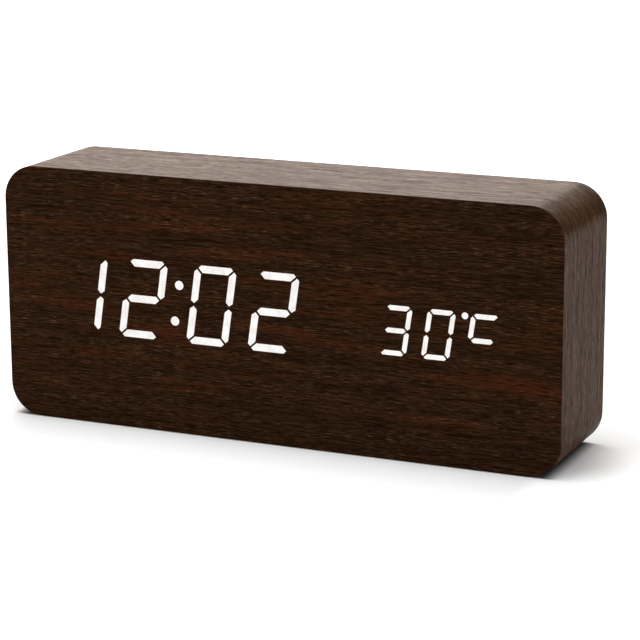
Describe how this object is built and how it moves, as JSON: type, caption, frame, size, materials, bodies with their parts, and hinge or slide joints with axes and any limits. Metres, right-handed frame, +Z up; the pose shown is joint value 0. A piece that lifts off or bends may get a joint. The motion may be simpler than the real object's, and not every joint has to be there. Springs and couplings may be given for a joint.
{
  "type": "digital led desk clock",
  "caption": "Wood-veneered block clock with slanted white LED time and temperature figures behind the face, a rear battery door, push buttons and a power socket.",
  "frame": {"origin": "middle of the flat bottom, on the surface the clock stands on", "axes": "+X to the right seen from the front, +Y from the face to the back, +Z up"},
  "size_m": [0.21, 0.046, 0.092],
  "materials": {
    "face_veneer": "dark brown open-grain wood, satin",
    "side_veneer": "greyed brown open-grain wood, satin",
    "fibreboard": "raw pressed fibreboard",
    "lit_segment": "translucent white, lit from behind",
    "dark_segment": "translucent milky white, unlit",
    "reflector_white": "moulded white",
    "circuit_board": "green solder mask",
    "led_white": "white ceramic body with yellow phosphor",
    "spacer_nylon": "natural nylon",
    "steel_screw": "zinc-plated steel",
    "chip_black": "black moulding compound",
    "steel_can": "drawn steel can",
    "buzzer_black": "black moulded case",
    "holder_black": "black moulded holder",
    "coin_steel": "polished steel",
    "capacitor_can": "aluminium can",
    "resistor_body": "black film on ceramic",
    "panel_black": "fine-textured black",
    "door_black": "fine-textured black",
    "cell_sleeve": "printed sleeve over a steel can, plain two colours",
    "contact_nickel": "nickel-plated spring steel",
    "wire_insulation": "soft coloured insulation",
    "switch_black": "black moulded case",
    "button_black": "smooth black",
    "plunger_black": "black",
    "jack_black": "black moulded case",
    "pin_brass": "plated brass",
    "microphone_can": "aluminium can with a felt face",
    "sensor_bead": "dark epoxy bead on tinned leads",
    "connector_white": "natural nylon",
    "ribbon_grey": "grey ribbon cable"
  },
  "bodies": {
    "case": {"case_front": "fibreboard", "case_ring": "fibreboard", "front_veneer": "face_veneer", "wrap_veneer": "side_veneer", "bottom_veneer": "side_veneer", "rear_veneer": "face_veneer", "time_lit_segments": "lit_segment", "time_dark_segments": "dark_segment", "time_reflector": "reflector_white", "temperature_lit_segments": "lit_segment", "temperature_dark_segments": "dark_segment", "temperature_reflector": "reflector_white", "display_board": "circuit_board", "segment_leds": "led_white", "board_spacers": "spacer_nylon", "board_screws": "steel_screw", "controller_chip": "chip_black", "clock_crystal": "steel_can", "piezo_buzzer": "buzzer_black", "coin_cell_holder": "holder_black", "coin_cell": "coin_steel", "board_capacitors": "capacitor_can", "board_resistors": "resistor_body", "rear_panel": "panel_black", "panel_screws": "steel_screw", "battery_bay": "panel_black", "battery_cells": "cell_sleeve", "battery_contacts": "contact_nickel", "battery_springs": "contact_nickel", "battery_wires": "wire_insulation", "control_board": "circuit_board", "control_screws": "steel_screw", "switch_bodies": "switch_black", "power_jack": "jack_black", "jack_pin": "pin_brass", "microphone": "microphone_can", "microphone_wires": "wire_insulation", "temperature_sensor": "sensor_bead", "ribbon_sockets": "connector_white", "ribbon_plugs": "connector_white", "ribbon_cable": "ribbon_grey"},
    "door": {"battery_door": "door_black", "door_latch": "door_black"},
    "set_key": {"set_button": "button_black", "set_plunger": "plunger_black"},
    "up_key": {"up_button": "button_black", "up_plunger": "plunger_black"},
    "down_key": {"down_button": "button_black", "down_plunger": "plunger_black"}
  },
  "joints": [
    {"name": "door_hinge", "type": "hinge", "parent": "case", "child": "door", "pos_m": [0, 0.0224, 0.0199], "axis": [-1, 0, 0], "range_deg": [0, 80], "deforming": ["door_latch"]},
    {"name": "set_press", "type": "slide", "parent": "case", "child": "set_key", "axis": [0, -1, 0], "range_m": [0, 0.0005], "stiffness_N_per_m": 3000},
    {"name": "up_press", "type": "slide", "parent": "case", "child": "up_key", "axis": [0, -1, 0], "range_m": [0, 0.0005], "stiffness_N_per_m": 3000},
    {"name": "down_press", "type": "slide", "parent": "case", "child": "down_key", "axis": [0, -1, 0], "range_m": [0, 0.0005], "stiffness_N_per_m": 3000}
  ]
}
